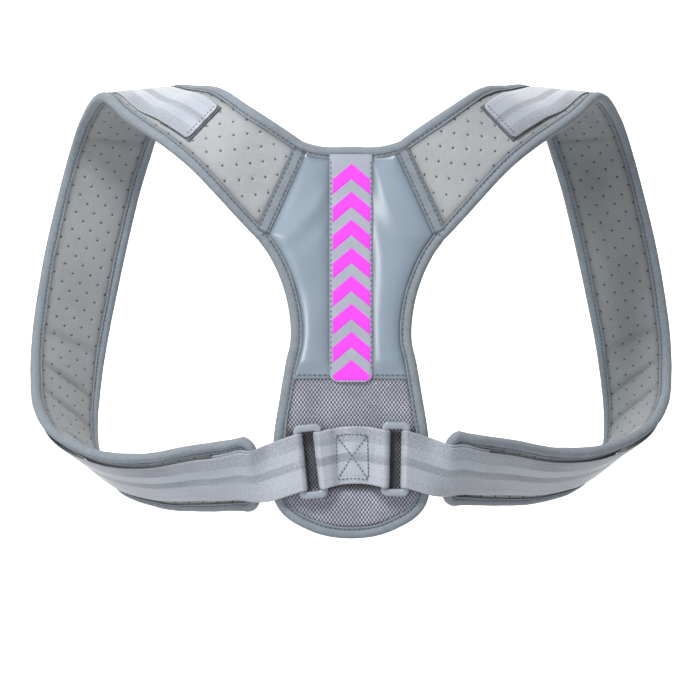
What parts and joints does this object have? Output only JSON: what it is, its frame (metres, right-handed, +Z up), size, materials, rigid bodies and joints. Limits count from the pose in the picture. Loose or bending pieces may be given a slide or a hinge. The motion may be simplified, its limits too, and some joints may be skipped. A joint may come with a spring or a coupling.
{
  "type": "posture corrector",
  "caption": "Back brace with a cushioned Y-shaped panel, chevron strip and padded shoulder loops whose webbing returns through rings at the lower back.",
  "frame": {"origin": "middle of the panel's inner face, which lies on the wearer's back between the shoulder blades", "axes": "+Z up, +Y forwards as the wearer faces, so the panel's outside faces -Y, and +X to the wearer's right"},
  "size_m": [0.47, 0.1826, 0.3146],
  "materials": {
    "pad_cloth": "perforated padded cloth",
    "leather": "smooth glossy imitation leather",
    "mesh_cloth": "coarse woven mesh",
    "reflective_tape": "light reflective tape",
    "pink_film": "pink printed film",
    "binding_tape": "stitched edge tape",
    "satin_webbing": "satin striped webbing",
    "hook_cloth": "hook fastener",
    "ring_plastic": "moulded grey plastic"
  },
  "bodies": {
    "root": {"back_panel_core": "pad_cloth", "leather_panel_left": "leather", "leather_panel_right": "leather", "mesh_panel": "mesh_cloth", "reflective_strip": "reflective_tape", "chevron_1": "pink_film", "chevron_2": "pink_film", "chevron_3": "pink_film", "chevron_4": "pink_film", "chevron_5": "pink_film", "chevron_6": "pink_film", "chevron_7": "pink_film", "chevron_8": "pink_film", "seam_tape_left": "binding_tape", "seam_tape_right": "binding_tape", "shoulder_pad_left": "pad_cloth", "shoulder_pad_right": "pad_cloth", "neck_binding": "binding_tape", "arm_binding_left": "binding_tape", "arm_binding_right": "binding_tape", "panel_binding": "binding_tape", "webbing_left": "satin_webbing", "webbing_right": "satin_webbing", "hook_patch_left": "hook_cloth", "hook_patch_right": "hook_cloth", "ring_left": "ring_plastic", "ring_right": "ring_plastic", "center_tab": "satin_webbing"}
  },
  "joints": []
}
